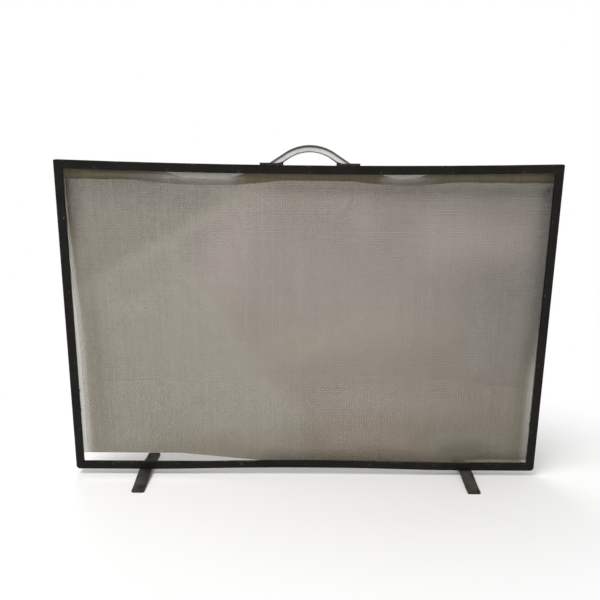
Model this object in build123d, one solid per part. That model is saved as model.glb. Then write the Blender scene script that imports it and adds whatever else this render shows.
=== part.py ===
from build123d import *
import math
import os

os.makedirs("parts", exist_ok=True)

# Fireplace screen in millimetres. Floor at z = 0, front of the screen towards -Y, x = 0 in the middle.

# Frame of equal steel angle: a front flange around the opening and a leg around the outside. The top rail
# sags in the middle. The bottom rail is bent up between the feet: hollow near them, crowned further in.
FRAME_WIDTH = 760.0
FRAME_HEIGHT = 501.0
FRAME_LIFT = 9.5
TOP_RAIL_SAG = 5.4
BOTTOM_RAIL_RISE = 3.9
CROWNED_SHARE = 0.69
ANGLE_FACE = 12.7
ANGLE_DEPTH = 12.7
ANGLE_THICK = 3.0
HEEL_RADIUS = 0.9
TOE_RADIUS = 0.6
ROOT_RADIUS = 0.5
TOP_CORNER_RADIUS = 3.0
BOTTOM_CORNER_RADIUS = 7.0

# Woven wire sheet, as thick as two crossing wires. A plain grid of openings stands for the weave. The left
# part of the lower edge has come up out of the frame.
WIRE_DIAMETER = 0.6
GRID_COLUMNS = 12
GRID_ROWS = 7
GRID_MARGIN = 9.0
GRID_OPEN_SHARE = 0.58
LOOSE_EDGE_UP = 20.5
LOOSE_LEVEL_RUN = 165.0
LOOSE_EDGE_RUN = 380.0

# Flat strips that hold the sheet against the back of the flange, and their flush rivets. The top strip is
# higher. Two half-moon slots in it start at the edge of the flange, and its straight lower edge droops
# under each.
STRIP_THICK = 2.0
STRIP_INSET = 0.3
STRIP_END_GAP = 0.2
TOP_STRIP_HEIGHT = 15.3
STRIP_SLOT_CENTRES = (-155.0, 141.0)
STRIP_SLOT_LENGTHS = (122.0, 72.0)
STRIP_SLOT_HEIGHTS_UP = (0.7, 4.0)
STRIP_SLOT_LIP = 0.4
STRIP_DROOP_LENGTHS = (220.0, 150.0)
STRIP_DROOPS = (7.5, 5.0)
RIVET_DIAMETER = 2.0
RIVET_HEAD_DIAMETER = 3.6
RIVET_TAIL_DIAMETER = 3.8
RIVET_TAIL_HEIGHT = 1.2
RAIL_RIVET_COUNT = 7
STILE_RIVET_COUNT = 4

# Tack welds on the flange's inner edge, placed from the lower corners of the opening.
TACK_RADIUS = 2.2
LEFT_TACKS_UP = (92.0, 125.0)
RIGHT_TACKS_UP = (71.0, 88.0)
BOTTOM_TACKS_FROM_RIGHT = (63.5, 8.5)

# Bow handle: a round rod bent to an arc with straight legs, each leg cut level and pegged into a pad.
ROD_DIAMETER = 11.0
BOW_HEIGHT = 29.5
BOW_RADIUS = 62.0
BOW_LEG_ANGLE = 33.0
PEG_DIAMETER = 5.0
PEG_END_GAP = 0.2
PAD_WIDTH = 12.0
PAD_THICK = 3.2
PAD_INNER_LIP = 0.6
PAD_FLAT_LENGTH = 14.5
PAD_CORNER_RADIUS = 3.0

# Feet: arched flat bars with flat toes.
FOOT_INSET = 114.0
FOOT_LENGTH = 130.0
FOOT_WIDTH = 20.0
FOOT_THICK = 3.0
FOOT_TOE_LENGTH = 14.0
FOOT_LAND_MARGIN = 5.0
FOOT_BEND_RADIUS = 60.0
FOOT_CORNER_RADIUS = 4.0
FOOT_SCREW_SPACING = 10.0

# Countersunk slotted screws and hex nuts, alike on the handle and the feet.
SCREW_DIAMETER = 4.0
SCREW_HEAD_DIAMETER = 7.2
SCREW_SLOT_WIDTH = 1.0
SCREW_SLOT_DEPTH = 0.8
SCREW_TIP = 0.8
NUT_FLATS = 7.0
NUT_HEIGHT = 3.2
NUT_WALL_GAP = 0.2

# Radial clearance of every pin in its hole, the gap under a nut, and the gap from a screw's tip to the sheet.
HOLE_CLEARANCE = 0.05
NUT_SEAT_GAP = 0.02
TIP_CLEARANCE = 0.5

# Levels and lines that follow from the sizes.
half_width = FRAME_WIDTH / 2
z_low = FRAME_LIFT
z_top = FRAME_LIFT + FRAME_HEIGHT
y_front = -ANGLE_DEPTH / 2
y_back = ANGLE_DEPTH / 2
y_sheet = y_front + ANGLE_THICK
y_strip = y_sheet + 2 * WIRE_DIAMETER
y_strip_back = y_strip + STRIP_THICK
edge_setback = ANGLE_THICK + NUT_SEAT_GAP + NUT_HEIGHT + SCREW_TIP + TIP_CLEARANCE
strip_width = ANGLE_FACE - STRIP_INSET - edge_setback
rivet_setback = edge_setback + strip_width / 2
x_edge = half_width - edge_setback
x_strip = x_edge - strip_width
z_edge_low = z_low + edge_setback
z_strip_low = z_edge_low + strip_width
y_screw = y_sheet + ROOT_RADIUS + NUT_WALL_GAP + NUT_FLATS / 2
nut_corner = NUT_FLATS / math.sqrt(3)
sag_radius = (half_width**2 + TOP_RAIL_SAG**2) / (2 * TOP_RAIL_SAG)
BEYOND = 1.0


def sag(x):
    """How far the top rail lies below its ends."""
    return math.sqrt(sag_radius**2 - x**2) - (sag_radius - TOP_RAIL_SAG)


def under_top(x, drop):
    """Level of a line that runs the given drop below the top of the sagging rail."""
    return z_top - sag(x) - drop


def sagging(x_end, drop, y):
    """Arc across the screen that follows the top rail."""
    end = under_top(x_end, drop)
    return ThreePointArc((-x_end, y, end), (0, y, under_top(0, drop)), (x_end, y, end))


z_strip_under = under_top(0, edge_setback) - TOP_STRIP_HEIGHT
z_side_low = z_strip_low + STRIP_END_GAP
z_side_top = z_strip_under - STRIP_END_GAP


def block(x0, x1, y0, y1, z0, z1):
    """Box between two corners."""
    centre = Pos((x0 + x1) / 2, (y0 + y1) / 2, (z0 + z1) / 2)
    return centre * Box(x1 - x0, y1 - y0, z1 - z0)


def plate(points, y0, y1):
    """Polygon of (x, z) points carried from y0 to y1."""
    outline = Polyline(*[(x, y0, z) for x, z in points], close=True)
    return extrude(make_face(outline), amount=y1 - y0, dir=(0, 1, 0))


def turned(points, axis_point, turn):
    """Solid of revolution of (radius, height) points, with its axis turned and moved into place."""
    outline = Polyline(*[(r, 0, h) for r, h in points], close=True)
    return Pos(*axis_point) * turn * revolve(make_face(outline), Axis.Z)


def spread(count, length):
    """Even positions about zero, half a pitch in from each end."""
    pitch = length / count
    return [(i + 0.5) * pitch - length / 2 for i in range(count)]


def save(node, *solids):
    """One STEP file for each node, with its solids kept apart."""
    shape = solids[0] if len(solids) == 1 else Compound(children=list(solids))
    export_step(shape, f"parts/{node}.step")


# Rivets: countersunk flush with the front of the flange, domed behind the strip.
ALONG_Y = Rot(-90, 0, 0)
rail_xs = spread(RAIL_RIVET_COUNT, 2 * x_edge)
stile_zs = [z + (z_side_low + z_side_top) / 2 for z in spread(STILE_RIVET_COUNT, z_side_top - z_side_low)]
top_rivets = [(x, under_top(x, rivet_setback)) for x in rail_xs]
bottom_rivets = [(x, z_low + rivet_setback) for x in rail_xs]
left_rivets = [(-half_width + rivet_setback, z) for z in stile_zs]
right_rivets = [(half_width - rivet_setback, z) for z in stile_zs]


def rivet(x, z):
    shank = RIVET_DIAMETER / 2
    head = RIVET_HEAD_DIAMETER / 2
    tail = RIVET_TAIL_DIAMETER / 2
    grip = y_strip_back - y_front
    dome = (tail**2 + RIVET_TAIL_HEIGHT**2) / (2 * RIVET_TAIL_HEIGHT)
    top = grip + RIVET_TAIL_HEIGHT
    half_turn = math.asin(tail / dome) / 2
    outline = [
        Line((0, 0, 0), (head, 0, 0)),
        Line((head, 0, 0), (shank, 0, head - shank)),
        Line((shank, 0, head - shank), (shank, 0, grip)),
        Line((shank, 0, grip), (tail, 0, grip)),
        ThreePointArc(
            (tail, 0, grip),
            (dome * math.sin(half_turn), 0, top - dome * (1 - math.cos(half_turn))),
            (0, 0, top),
        ),
        Line((0, 0, top), (0, 0, 0)),
    ]
    return Pos(x, y_front, z) * ALONG_Y * revolve(make_face(outline), Axis.Z)


def rivet_hole(x, z):
    shank = RIVET_DIAMETER / 2 + HOLE_CLEARANCE
    head = RIVET_HEAD_DIAMETER / 2 + HOLE_CLEARANCE
    grip = y_strip_back - y_front + BEYOND
    outline = [(0, -BEYOND), (head, -BEYOND), (head, 0), (shank, head - shank), (shank, grip), (0, grip)]
    return turned(outline, (x, y_front, z), ALONG_Y)


# Screws: head flush at the start level, shank towards +Z or -Z, nut against the far side of the stack.
def facing(down):
    return Rot(180, 0, 0) if down else Rot(0, 0, 0)


def screw(x, level, stack, down):
    shank = SCREW_DIAMETER / 2
    head = SCREW_HEAD_DIAMETER / 2
    tip = stack + NUT_SEAT_GAP + NUT_HEIGHT + SCREW_TIP
    outline = [(0, 0), (head, 0), (shank, head - shank), (shank, tip), (0, tip)]
    slot = block(-head, head, -SCREW_SLOT_WIDTH / 2, SCREW_SLOT_WIDTH / 2, -BEYOND, SCREW_SLOT_DEPTH)
    place = Pos(x, y_screw, level) * facing(down)
    return turned(outline, (x, y_screw, level), facing(down)) - place * slot


def screw_hole(x, level, stack, down):
    shank = SCREW_DIAMETER / 2 + HOLE_CLEARANCE
    head = SCREW_HEAD_DIAMETER / 2 + HOLE_CLEARANCE
    far = stack + BEYOND
    outline = [(0, -BEYOND), (head, -BEYOND), (head, 0), (shank, head - shank), (shank, far), (0, far)]
    return turned(outline, (x, y_screw, level), facing(down))


def nut(x, level, stack, down):
    bore = SCREW_DIAMETER / 2 + HOLE_CLEARANCE
    hexagon = RegularPolygon(NUT_FLATS / 2, 6, major_radius=False)
    body = extrude(hexagon - Circle(bore), amount=NUT_HEIGHT)
    return Pos(x, y_screw, level) * facing(down) * Pos(0, 0, stack + NUT_SEAT_GAP) * body


# Handle: centre line of the rod above the top rail, from the apex to its seat on a pad.
leg = math.radians(BOW_LEG_ANGLE)
rod_radius = ROD_DIAMETER / 2
apex = BOW_HEIGHT - rod_radius
bend_x = BOW_RADIUS * math.sin(leg)
bend_z = apex - BOW_RADIUS * (1 - math.cos(leg))
seat_x = bend_x + (bend_z - PAD_THICK) / math.tan(leg)
seat_reach = rod_radius / math.sin(leg)
pad_start = seat_x - seat_reach - PAD_INNER_LIP
pad_end = seat_x + seat_reach + PAD_FLAT_LENGTH
handle_screw_x = pad_end - PAD_FLAT_LENGTH / 2
z_seat = under_top(pad_end, 0)
handle_level = z_seat + PAD_THICK
handle_stack = handle_level - under_top(handle_screw_x - nut_corner, ANGLE_THICK)

# Feet: height of the arch and the stack their screws go through.
foot_rise = FRAME_LIFT - FOOT_THICK
foot_stack = FOOT_THICK + ANGLE_THICK
foot_xs = (FOOT_INSET - half_width, half_width - FOOT_INSET)
foot_screw_xs = [x + s * FOOT_SCREW_SPACING / 2 for x in foot_xs for s in (-1, 1)]
handle_screw_xs = (-handle_screw_x, handle_screw_x)


# Frame: four lengths of angle with mitred ends, the top and bottom ones bent.
def angle_bar(path, inward):
    section = Plane(origin=path @ 0, x_dir=inward, z_dir=path % 0)
    points = [
        (0, y_front),
        (ANGLE_FACE, y_front),
        (ANGLE_FACE, y_sheet),
        (ANGLE_THICK, y_sheet),
        (ANGLE_THICK, y_back),
        (0, y_back),
    ]
    radii = [HEEL_RADIUS, TOE_RADIUS, TOE_RADIUS, ROOT_RADIUS, TOE_RADIUS, TOE_RADIUS]
    outline = make_face(Polyline(*points, close=True))
    for (px, py), radius in zip(points, radii):
        corner = min(outline.vertices(), key=lambda v: math.hypot(v.X - px, v.Y - py))
        outline = fillet(corner, radius)
    return sweep(section * outline, path=path)


def mitred(bar, corners):
    return bar & plate(corners, y_front - BEYOND, y_back + BEYOND)


def corner_cut(side, level, up, radius):
    """What a rounded corner of the frame takes away."""
    x0, x1 = sorted((side * (half_width + BEYOND), side * (half_width - radius)))
    z0, z1 = sorted((level - up * BEYOND, level + up * radius))
    centre = Pos(side * (half_width - radius), 0, level + up * radius)
    drum = centre * Rot(90, 0, 0) * Cylinder(radius, ANGLE_DEPTH + 4 * BEYOND)
    return block(x0, x1, y_front - BEYOND, y_back + BEYOND, z0, z1) - drum


reach = ANGLE_FACE + TOP_RAIL_SAG + BEYOND
slope = (ANGLE_FACE + sag(half_width - ANGLE_FACE)) / ANGLE_FACE
x_out, x_in = half_width + BEYOND, half_width - reach
up_out, up_in = z_top + slope * BEYOND, z_top - slope * reach
low_out, low_in = z_low - BEYOND, z_low + reach

top_line = sagging(half_width, 0, 0)
top_down = Vector(0, 1, 0).cross(top_line % 0)
top_rail = mitred(
    angle_bar(top_line, top_down),
    [(-x_out, up_out), (x_out, up_out), (x_in, up_in), (-x_in, up_in)],
)
bend_end = half_width - FOOT_INSET - FOOT_WIDTH / 2
bend_turn = CROWNED_SHARE * bend_end
bend_angle = 2 * math.atan(BOTTOM_RAIL_RISE / bend_end)
hollow_radius = (bend_end - bend_turn) / math.sin(bend_angle)


def hollow_point(side, angle):
    """Point of the bottom line where it has turned up by an angle, inwards from a foot."""
    x = bend_end - hollow_radius * math.sin(angle)
    return (side * x, 0, z_low + hollow_radius * (1 - math.cos(angle)))


right_bend = [hollow_point(1, share * bend_angle) for share in (0, 0.5, 1)]
left_bend = [hollow_point(-1, share * bend_angle) for share in (1, 0.5, 0)]
bottom_line = Wire([
    Line((half_width, 0, z_low), right_bend[0]),
    ThreePointArc(*right_bend),
    ThreePointArc(right_bend[-1], (0, 0, z_low + BOTTOM_RAIL_RISE), left_bend[0]),
    ThreePointArc(*left_bend),
    Line(left_bend[-1], (-half_width, 0, z_low)),
])
bottom_rail = mitred(
    angle_bar(bottom_line, (0, 0, 1)),
    [(-x_out, low_out), (x_out, low_out), (x_in, low_in), (-x_in, low_in)],
)
left_stile = mitred(
    angle_bar(Line((-half_width, 0, z_low), (-half_width, 0, z_top)), (1, 0, 0)),
    [(-x_out, low_out), (-x_in, low_in), (-x_in, up_in), (-x_out, up_out)],
)
right_stile = mitred(
    angle_bar(Line((half_width, 0, z_top), (half_width, 0, z_low)), (-1, 0, 0)),
    [(x_out, low_out), (x_in, low_in), (x_in, up_in), (x_out, up_out)],
)

top_left = corner_cut(-1, z_top, -1, TOP_CORNER_RADIUS)
top_right = corner_cut(1, z_top, -1, TOP_CORNER_RADIUS)
low_left = corner_cut(-1, z_low, 1, BOTTOM_CORNER_RADIUS)
low_right = corner_cut(1, z_low, 1, BOTTOM_CORNER_RADIUS)
handle_holes = [screw_hole(x, handle_level, handle_stack, True) for x in handle_screw_xs]
foot_holes = [screw_hole(x, foot_rise, foot_stack, False) for x in foot_screw_xs]

save("top_rail", top_rail - top_left - top_right - [rivet_hole(*p) for p in top_rivets] - handle_holes)
save("bottom_rail", bottom_rail - low_left - low_right - [rivet_hole(*p) for p in bottom_rivets] - foot_holes)
save("left_stile", left_stile - top_left - low_left - [rivet_hole(*p) for p in left_rivets])
save("right_stile", right_stile - top_right - low_right - [rivet_hole(*p) for p in right_rivets])

# Wire sheet: fitted to the frame except for the loose left part of its lower edge.
all_rivets = top_rivets + bottom_rivets + left_rivets + right_rivets
z_sheet_top = under_top(x_edge, edge_setback)
z_loose = z_edge_low + LOOSE_EDGE_UP
sheet_edge = [
    sagging(x_edge, edge_setback, y_sheet),
    Polyline(
        (x_edge, y_sheet, z_sheet_top),
        (x_edge, y_sheet, z_edge_low),
        (-x_edge + LOOSE_EDGE_RUN, y_sheet, z_edge_low),
        (-x_edge + LOOSE_LEVEL_RUN, y_sheet, z_loose),
        (-x_edge, y_sheet, z_loose),
        (-x_edge, y_sheet, z_sheet_top),
    ),
]
grid_low = z_loose + GRID_MARGIN
grid_high = z_strip_under - max(STRIP_DROOPS) - GRID_MARGIN
grid_half = half_width - ANGLE_FACE - GRID_MARGIN
opening_wide = GRID_OPEN_SHARE * 2 * grid_half / GRID_COLUMNS
opening_high = GRID_OPEN_SHARE * (grid_high - grid_low) / GRID_ROWS
opening = Plane((0, y_sheet, 0), x_dir=(1, 0, 0), z_dir=(0, -1, 0)) * Rectangle(opening_wide, opening_high)
openings = [
    Pos(x, 0, z + (grid_low + grid_high) / 2) * opening
    for x in spread(GRID_COLUMNS, 2 * grid_half)
    for z in spread(GRID_ROWS, grid_high - grid_low)
]
sheet = extrude(make_face(sheet_edge) - openings, amount=y_strip - y_sheet, dir=(0, 1, 0))
save("mesh_panel", sheet - [rivet_hole(*p) for p in all_rivets])

# Retaining strips: full width at the top and bottom, the side ones fitted between them.
strip_edge = [
    sagging(x_edge, edge_setback, y_strip),
    Polyline(
        (x_edge, y_strip, z_sheet_top),
        (x_edge, y_strip, z_strip_under),
        (-x_edge, y_strip, z_strip_under),
        (-x_edge, y_strip, z_sheet_top),
    ),
]
top_strip = extrude(make_face(strip_edge), amount=STRIP_THICK, dir=(0, 1, 0))


def half_moon(centre, length, level, bottom, y0, y1):
    """Plate with a straight upper edge and a round lower edge."""
    left = (centre - length / 2, y0, level)
    right = (centre + length / 2, y0, level)
    outline = [Line(right, left), ThreePointArc(left, (centre, y0, bottom), right)]
    return extrude(make_face(outline), amount=y1 - y0, dir=(0, 1, 0))


strip_droops = [
    half_moon(centre, length, z_strip_under, z_strip_under - droop, y_strip, y_strip_back)
    for centre, length, droop in zip(STRIP_SLOT_CENTRES, STRIP_DROOP_LENGTHS, STRIP_DROOPS)
]
strip_slots = []
for centre, length, up in zip(STRIP_SLOT_CENTRES, STRIP_SLOT_LENGTHS, STRIP_SLOT_HEIGHTS_UP):
    lip = under_top(centre, ANGLE_FACE) + STRIP_SLOT_LIP
    bottom = z_strip_under + up
    strip_slots.append(half_moon(centre, length, lip, bottom, y_strip - BEYOND, y_strip_back + BEYOND))
top_strip = top_strip + strip_droops - strip_slots

bottom_strip = block(-x_edge, x_edge, y_strip, y_strip_back, z_edge_low, z_strip_low)
left_strip = block(-x_edge, -x_strip, y_strip, y_strip_back, z_side_low, z_side_top)
right_strip = block(x_strip, x_edge, y_strip, y_strip_back, z_side_low, z_side_top)
save("top_strip", top_strip - [rivet_hole(*p) for p in top_rivets])
save("bottom_strip", bottom_strip - [rivet_hole(*p) for p in bottom_rivets])
save("left_strip", left_strip - [rivet_hole(*p) for p in left_rivets])
save("right_strip", right_strip - [rivet_hole(*p) for p in right_rivets])
save("strip_rivets", *[rivet(*p) for p in all_rivets])

# Tack welds: half beads on the flange's inner edge, in front of the sheet.
x_open, z_open = half_width - ANGLE_FACE, z_low + ANGLE_FACE
bead = Sphere(TACK_RADIUS)
beads = []
for side, heights in ((-1, LEFT_TACKS_UP), (1, RIGHT_TACKS_UP)):
    for up in heights:
        x0, x1 = sorted((side * x_open, side * (x_open - 2 * TACK_RADIUS)))
        z = z_open + up
        keep = block(x0, x1, y_front, y_sheet, z - 2 * TACK_RADIUS, z + 2 * TACK_RADIUS)
        beads.append((Pos(side * x_open, y_sheet - ANGLE_THICK / 2, z) * bead) & keep)
for from_right in BOTTOM_TACKS_FROM_RIGHT:
    x = x_open - from_right
    keep = block(x - 2 * TACK_RADIUS, x + 2 * TACK_RADIUS, y_front, y_sheet, z_open, z_open + 2 * TACK_RADIUS)
    beads.append((Pos(x, y_sheet - ANGLE_THICK / 2, z_open) * bead) & keep)
save("tack_welds", *beads)

# Handle bow: straight leg, arc, straight leg, cut level at the seats, with a peg under each leg.
leg_end = rod_radius / math.tan(leg) + BEYOND
end_x = seat_x + leg_end * math.cos(leg)
end_z = handle_level - leg_end * math.sin(leg)
start = (-end_x, 0, end_z)
bend = (bend_x, 0, z_seat + bend_z)
bow_line = Wire([
    Line(start, (-bend_x, 0, bend[2])),
    ThreePointArc((-bend_x, 0, bend[2]), (0, 0, z_seat + apex), bend),
    Line(bend, (end_x, 0, end_z)),
])
rod_section = Plane(origin=start, z_dir=(math.cos(leg), 0, math.sin(leg))) * Circle(rod_radius)
bow = sweep(rod_section, path=bow_line)
bow = bow - block(-pad_end, pad_end, -PAD_WIDTH, PAD_WIDTH, end_z - ROD_DIAMETER, handle_level)


def peg(side, radius, top, low):
    """Round pin upright in the middle of a seat."""
    return Pos(side * seat_x, 0, (top + low) / 2) * Cylinder(radius, top - low)


bow = bow + [peg(side, PEG_DIAMETER / 2, handle_level, z_seat + PEG_END_GAP) for side in (-1, 1)]
save("handle_bow", bow)


# Handle pads: flat plates with round corners, a hole for the peg and one for the screw.
def handle_pad(side):
    x0, x1 = sorted((side * pad_start, side * pad_end))
    body = block(x0, x1, -PAD_WIDTH / 2, PAD_WIDTH / 2, z_seat, handle_level)
    body = fillet(body.edges().filter_by(Axis.Z), PAD_CORNER_RADIUS)
    bore = peg(side, PEG_DIAMETER / 2 + HOLE_CLEARANCE, handle_level + BEYOND, z_seat - BEYOND)
    return body - bore - screw_hole(side * handle_screw_x, handle_level, handle_stack, True)


save("handle_pad_left", handle_pad(-1))
save("handle_pad_right", handle_pad(1))
save("handle_screws", *[screw(x, handle_level, handle_stack, True) for x in handle_screw_xs])
save("handle_nuts", *[nut(x, handle_level, handle_stack, True) for x in handle_screw_xs])


# Feet: a flat bar swept along a shallow arch, crown under the bottom rail and toes on the floor.
def foot(x):
    land = ANGLE_DEPTH / 2 + FOOT_LAND_MARGIN
    end = FOOT_LENGTH / 2
    toe = end - FOOT_TOE_LENGTH
    low, high = FOOT_THICK / 2, foot_rise + FOOT_THICK / 2
    line = [(-end, low), (-toe, low), (-land, high), (land, high), (toe, low), (end, low)]
    path = FilletPolyline(*[(x, y, z) for y, z in line], radius=FOOT_BEND_RADIUS)
    section = Plane(origin=(x, -end, low), x_dir=(1, 0, 0), z_dir=(0, 1, 0))
    bar = sweep(section * Rectangle(FOOT_WIDTH, FOOT_THICK), path=path)
    outline = RectangleRounded(FOOT_WIDTH + BEYOND, FOOT_LENGTH, FOOT_CORNER_RADIUS)
    return bar & (Pos(x, 0, -FRAME_LIFT / 2) * extrude(outline, amount=2 * FRAME_LIFT))


for node, x in zip(("foot_left", "foot_right"), foot_xs):
    save(node, foot(x) - foot_holes)
save("foot_screws", *[screw(x, foot_rise, foot_stack, False) for x in foot_screw_xs])
save("foot_nuts", *[nut(x, foot_rise, foot_stack, False) for x in foot_screw_xs])
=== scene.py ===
import math

import bpy
from mathutils import Matrix, Vector


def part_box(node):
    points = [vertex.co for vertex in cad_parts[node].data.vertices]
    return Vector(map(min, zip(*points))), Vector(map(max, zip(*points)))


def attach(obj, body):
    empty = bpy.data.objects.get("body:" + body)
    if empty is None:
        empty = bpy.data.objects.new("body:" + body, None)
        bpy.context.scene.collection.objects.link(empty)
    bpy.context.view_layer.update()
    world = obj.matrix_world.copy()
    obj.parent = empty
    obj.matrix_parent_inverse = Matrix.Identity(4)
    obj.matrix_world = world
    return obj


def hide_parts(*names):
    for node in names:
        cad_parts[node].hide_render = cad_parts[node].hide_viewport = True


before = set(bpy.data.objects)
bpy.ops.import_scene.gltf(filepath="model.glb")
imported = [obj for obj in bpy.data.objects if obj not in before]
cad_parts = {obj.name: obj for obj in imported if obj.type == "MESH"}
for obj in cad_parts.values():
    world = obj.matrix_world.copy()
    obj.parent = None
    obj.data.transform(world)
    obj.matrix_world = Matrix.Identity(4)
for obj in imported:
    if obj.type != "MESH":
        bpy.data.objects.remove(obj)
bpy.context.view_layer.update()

scene = bpy.context.scene
scene.view_settings.view_transform = "Standard"

# Lines of the screen in metres, taken from the solids.
sheet_low, sheet_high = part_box("mesh_panel")
top_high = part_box("top_rail")[1]
bottom_low, bottom_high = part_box("bottom_rail")
HALF_WIDTH = top_high.x
FRAME_LOW = bottom_low.z
FRAME_TOP = top_high.z
FRONT = bottom_low.y
BACK = bottom_high.y
TOP_SAG = 0.0054
BOTTOM_RISE = 0.0039
BOTTOM_RISE_REACH = 0.256
FLANGE_WIDTH = 0.0127

# Wire cloth: 24 wires to the inch, laid in two crossing layers as thick as the solid sheet. Its top sags
# with the rail, and the left part of its lower edge has come up.
WIRE_PITCH = 0.0254 / 24
WIRE_THICK = (sheet_high.y - sheet_low.y) / 2
WIRE_SIDES = 4
UPRIGHT_POINTS = 35
CROSS_POINTS = 51
IN_LINE = 1e-5
SHEET_SAG = TOP_SAG * (sheet_high.x / HALF_WIDTH) ** 2
LOOSE_UP = 0.0205
LOOSE_LEVEL_RUN = 0.165
LOOSE_RUN = 0.380
LOOSE_FADE = 1.5
SLACK = 0.0022
SLACK_SCALE = 6.5

# Unevenness of the wires, as shares of their pitch or thickness: how far each one wanders, how far the
# wires of a bunch close up, and how much soot with its painted shade, and ash, thicken them.
WANDER = 0.09
BUNCHING = 0.07
BUNCH_SIZE = 4
CLOGGING = 0.18
CAKING = 0.45
SHADE_RANGE = (-1.0, 1.0)
SHIFT_SEED_STEP = 7

# Distance from the clamped border over which small pockets and wide slack get free.
POCKETS_FREE = (0.0054, 0.0115)
SLACK_FREE = (0.006, 0.055)

# Where the points of an upright wire lie: (share of the points, share of the height), closest under the
# top rail.
POINT_SPREAD = ((0.0, 0.0), (0.22, 0.16), (0.36, 0.62), (0.62, 0.86), (0.68, 0.935), (1.0, 1.0))

# Upright wires that have come away from the left stile: the gap left low down, the levels between which
# it grows, the thinned wires beside it and how far they reach, how far the wires crowd, and the fold
# above it.
GAP_WIDTH = 0.0125
GAP_TOP = 0.475
GAP_FULL = 0.200
THIN_WIDTH = 0.0045
THIN_REACH = 0.0030
CROWD_REACH = 0.060
FOLD_WIDTH = 0.0029
FOLD_REACH = 0.0034

# Wires thinned beside the right stile and along the right end of the lower rail: where they begin, how
# far the thinning reaches, how far it moves the wires, and where along the edge it grows.
EDGE_MARGIN = 0.0014
SIDE_EDGE = HALF_WIDTH - FLANGE_WIDTH + EDGE_MARGIN
SIDE_REACH = 0.008
SIDE_WIDTH = 0.0040
SIDE_LEVELS = (0.27, 0.17)
LOW_EDGE = FRAME_LOW + FLANGE_WIDTH + EDGE_MARGIN
LOW_REACH = 0.003
LOW_WIDTH = 0.0018
LOW_SPAN = (0.24, 0.30)

# Soot on the cloth, with painted shade added in. A pair says where a part of it begins and where it is
# full: SPAN from left to right, LEVELS in height. A SHARE says how thick that part lies. Soot builds up
# towards the upper right,
SOOT_CENTRE = (-0.10, 0.25)
SOOT_STRETCH = (2.1, 3.0)
SOOT_GROWTH = (0.3, 1.3)
SOOT_STRIP_LEVELS = (0.470, 0.484)
SOOT_STRIP_SHARE = -0.5
SOOT_LEFT_SPAN = (-0.20, 0.0)
SOOT_LEFT_SHARE = 0.35
# the cloth is darker over the long crease at the upper left, a line given by its slopes in x and z and
# its offset,
CORNER_LINE = (-0.489, 0.872, -0.4477)
CORNER_EDGE = (-0.003, 0.014)
CORNER_SHARE = 0.28
# painted shade lies under the top strip,
UNDER_LEVELS = (0.455, 0.473)
UNDER_END_LEVELS = (0.4885, 0.4860)
UNDER_LEFT_SPAN = (-0.19, -0.24)
UNDER_LEFT_SHARE = 0.5
UNDER_RIGHT_SPAN = (-0.10, -0.04)
UNDER_SHARE = 0.40
# the cloth is darker along the lower rail, soot lies above the right foot,
HEM_LEVELS = (0.052, 0.027)
HEM_SPAN = (-0.12, -0.03)
HEM_SHARE = 0.9
FOOT_LEVELS = (0.095, 0.024)
FOOT_SPAN = (0.16, 0.30)
# and painted shade lies beside both stiles.
RIM_REACH = (0.040, 0.004)
RIM_RIGHT_SPAN = (0.0, 0.1)
RIM_RIGHT_LEVELS = (0.165, 0.235)
RIM_LEFT_SPAN = (0.0, -0.1)
RIM_LEFT_LEVELS = (0.36, 0.43)
RIM_SHARE = 0.8

# Pale ash caked on the wires behind the right foot.
ASH_MIDDLE = 0.258
ASH_REACH = (0.055, 0.010)
ASH_TOP_LEVELS = (0.075, 0.042)
ASH_LOW_LEVELS = (0.0255, 0.0305)


class Wiring:
    """Adds nodes to a tree and links what is given to their inputs."""

    def __init__(self, tree):
        self.tree = tree

    def node(self, kind, inputs=(), **settings):
        made = self.tree.nodes.new(kind)
        for key, value in settings.items():
            setattr(made, key, value)
        for key, value in dict(inputs).items():
            if isinstance(value, bpy.types.NodeSocket):
                self.tree.links.new(value, made.inputs[key])
            else:
                made.inputs[key].default_value = value
        return made

    def math(self, operation, *values, clamp=False):
        return self.node(
            "ShaderNodeMath", enumerate(values), operation=operation, use_clamp=clamp
        ).outputs[0]

    def vector(self, operation, *values):
        made = self.node("ShaderNodeVectorMath", enumerate(values), operation=operation)
        return made.outputs[1 if operation in ("LENGTH", "DOT_PRODUCT") else 0]

    def smooth(self, value, low, high):
        return self.node(
            "ShaderNodeMapRange",
            {"Value": value, "From Min": low, "From Max": high},
            interpolation_type="SMOOTHSTEP",
        ).outputs[0]

    def spread(self, value, low, high):
        return self.node(
            "ShaderNodeMapRange", {"Value": value, "To Min": low, "To Max": high}
        ).outputs[0]

    def both(self, first, first_range, second, second_range):
        """Grows where two values do."""
        grown = self.smooth(first, *first_range)
        return self.math("MULTIPLY", grown, self.smooth(second, *second_range))

    def stepped(self, value, corners):
        """A line of straight stretches through (from, to) corners."""
        total = corners[0][1]
        for (a, low), (b, high) in zip(corners, corners[1:]):
            span = {"Value": value, "From Min": a, "From Max": b, "To Max": high - low}
            total = self.math("ADD", self.node("ShaderNodeMapRange", span).outputs[0], total)
        return total

    def parts(self, vector):
        return self.node("ShaderNodeSeparateXYZ", {0: vector}).outputs

    def place(self, x, y, z):
        return self.node("ShaderNodeCombineXYZ", {0: x, 1: y, 2: z}).outputs[0]

    def noise(self, place, scale, detail=2.0, roughness=0.5):
        return self.node(
            "ShaderNodeTexNoise",
            {"Vector": place, "Scale": scale, "Detail": detail, "Roughness": roughness},
        ).outputs[0]

    def mix(self, factor, first, second, blend="MIX"):
        made = self.node(
            "ShaderNodeMix", {0: factor, 6: first, 7: second}, data_type="RGBA", blend_type=blend
        )
        return made.outputs[2]


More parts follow.
